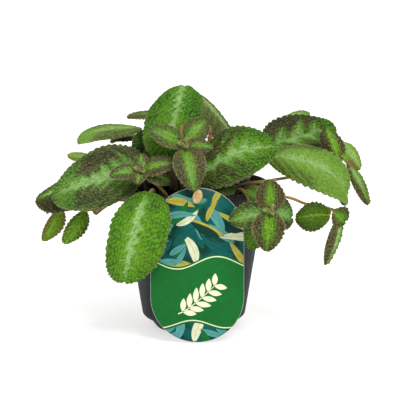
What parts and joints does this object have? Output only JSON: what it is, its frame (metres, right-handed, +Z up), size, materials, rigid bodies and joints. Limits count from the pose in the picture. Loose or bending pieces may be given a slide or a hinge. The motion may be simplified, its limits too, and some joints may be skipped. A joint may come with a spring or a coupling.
{
  "type": "potted flame violet",
  "caption": "Flame violet house plant with quilted hairy leaves and trailing rosettes in a round grower pot, with a round-ended patterned card pinned in front.",
  "frame": {"origin": "middle of the pot's flat underside, where it stands", "axes": "+Z up; -Y is the front with the card; +X is to the plant's right as seen from the front"},
  "size_m": [0.2656, 0.2044, 0.1926],
  "materials": {
    "pot_plastic": "dark grey thermoformed plastic with faint upright streaks, satin",
    "soil": "dark brown moist peat and bark, matt and crumbly",
    "card_print": null,
    "pin_wood": "pale bare wood with fine end grain",
    "leaf_green": "quilted hairy leaf, green to olive with a pale silvery midrib band",
    "leaf_bronze": "quilted hairy leaf with bronze-brown margins and a lime centre stripe"
  },
  "bodies": {
    "root": {"pot": "pot_plastic", "potting_soil": "soil", "care_card": "card_print", "card_pin": "pin_wood", "leaf_top": "leaf_green", "leaf_top_folded": "leaf_green", "leaf_upper_left": "leaf_green", "leaf_left_sliver": "leaf_green", "leaf_back_left_high": "leaf_green", "leaf_inner_dark": "leaf_green", "leaf_inner_middle": "leaf_green", "leaf_left_large": "leaf_green", "leaf_left_under": "leaf_green", "leaf_left_back": "leaf_green", "leaf_front_hanging": "leaf_green", "leaf_right_large": "leaf_green", "leaf_right_back": "leaf_green", "leaf_right_back_tip": "leaf_green", "leaf_right_silver": "leaf_green", "leaf_behind_card": "leaf_green", "leaf_back_high": "leaf_green", "leaf_back_middle": "leaf_green", "leaf_back_left": "leaf_green", "leaf_back_right": "leaf_green", "stem_crown_rosette": "leaf_bronze", "stem_left_rosette": "leaf_bronze", "stem_front_right_rosette": "leaf_bronze", "runner_left": "leaf_bronze", "runner_right_high": "leaf_bronze", "runner_right_low": "leaf_bronze", "runner_back": "leaf_bronze", "runner_back_left": "leaf_bronze"}
  },
  "joints": []
}
